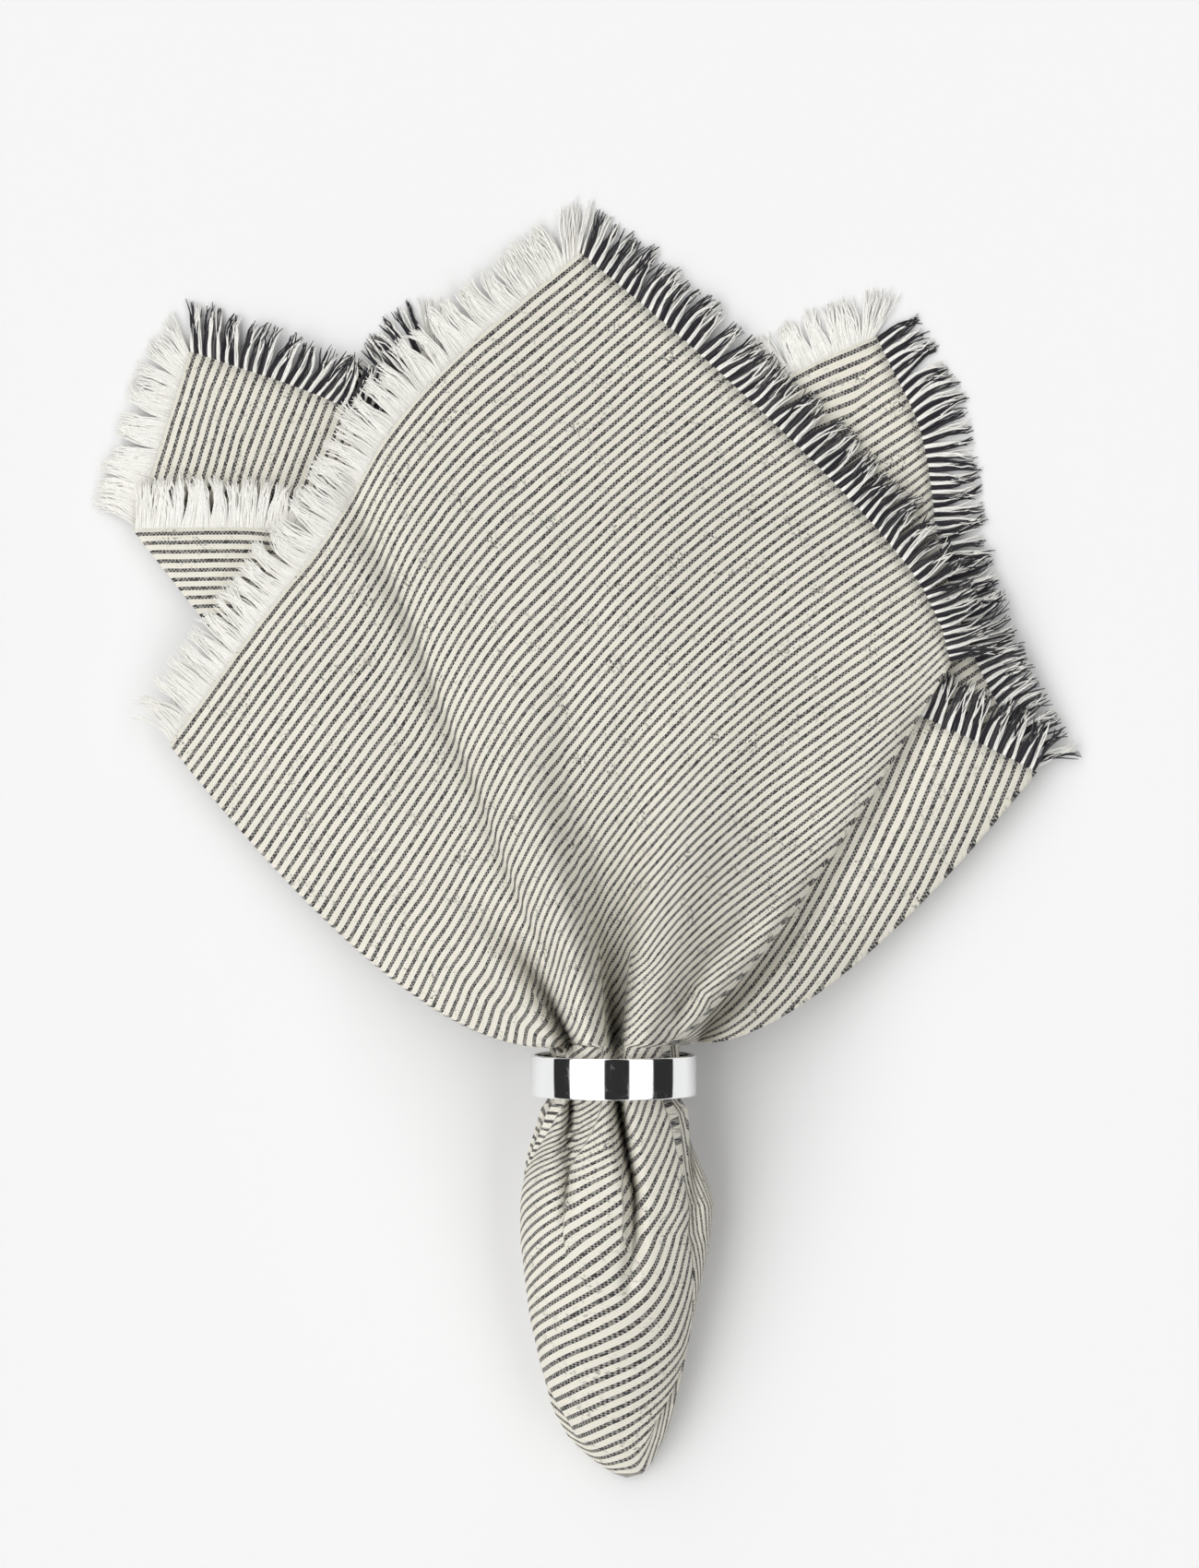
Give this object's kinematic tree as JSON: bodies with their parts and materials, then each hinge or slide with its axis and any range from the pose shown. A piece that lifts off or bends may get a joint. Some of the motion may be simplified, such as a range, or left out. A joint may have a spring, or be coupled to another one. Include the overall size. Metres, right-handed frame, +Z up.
{
  "type": "cloth napkin in a napkin ring",
  "caption": "Fringed, finely striped woven cloth napkin gathered through a polished metal band ring, its corners fanned out above and its middle hanging below as a soft tail.",
  "frame": {"origin": "middle of the whole object's box, on the surface on which it lies", "axes": "+Y along the ring's axis towards the fanned corners, +X to the right as seen from above, +Z up"},
  "size_m": [0.2502, 0.3268, 0.0427],
  "materials": {
    "striped_cloth": "plain weave cotton, cream with fine charcoal pinstripes",
    "cream_fringe": "soft twisted cream yarn ends",
    "dark_fringe": "soft twisted yarn ends, charcoal and cream in turn",
    "polished_ring": "mirror polish with fine scratches"
  },
  "bodies": {
    "root": {"napkin": "striped_cloth", "ring": "polished_ring", "fringe_front_dark": "dark_fringe", "fringe_front_cream": "cream_fringe", "fringe_left_under_cream": "cream_fringe", "fringe_left_flap_cream": "cream_fringe", "fringe_back_left_cream": "cream_fringe", "fringe_back_left_dark": "dark_fringe", "fringe_back_left_under_dark": "dark_fringe", "fringe_back_dark": "dark_fringe", "fringe_back_cream": "cream_fringe", "fringe_back_right_under_cream": "cream_fringe", "fringe_back_right_cream": "cream_fringe", "fringe_back_right_dark": "dark_fringe", "fringe_right_flap_dark": "dark_fringe", "fringe_right_under_dark": "dark_fringe"}
  },
  "joints": []
}
